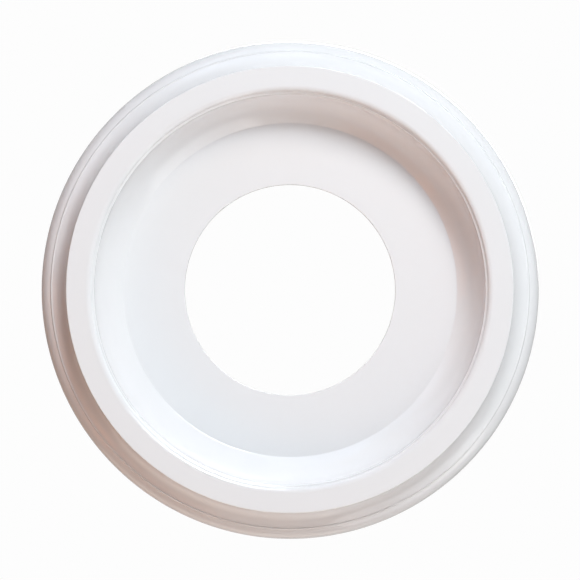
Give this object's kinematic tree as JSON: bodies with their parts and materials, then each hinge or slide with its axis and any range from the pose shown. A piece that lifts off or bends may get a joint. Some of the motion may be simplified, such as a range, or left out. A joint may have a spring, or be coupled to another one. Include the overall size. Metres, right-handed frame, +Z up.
{
  "type": "ceiling rose",
  "caption": "Round moulded ceiling rose with a wide central hole, a flat recess for a light's canopy, a raised ring and coved, rounded edges.",
  "frame": {"origin": "centre of the back, on the ceiling plane", "axes": "+Z up, out of the back into the ceiling and along the rose's own axis; the face looks to -Z; +X and +Y lie in the ceiling plane"},
  "size_m": [0.2476, 0.2476, 0.026],
  "materials": {
    "gloss_white_plastic": "smooth moulded gloss white"
  },
  "bodies": {
    "root": {"ceiling_rose": "gloss_white_plastic"}
  },
  "joints": []
}
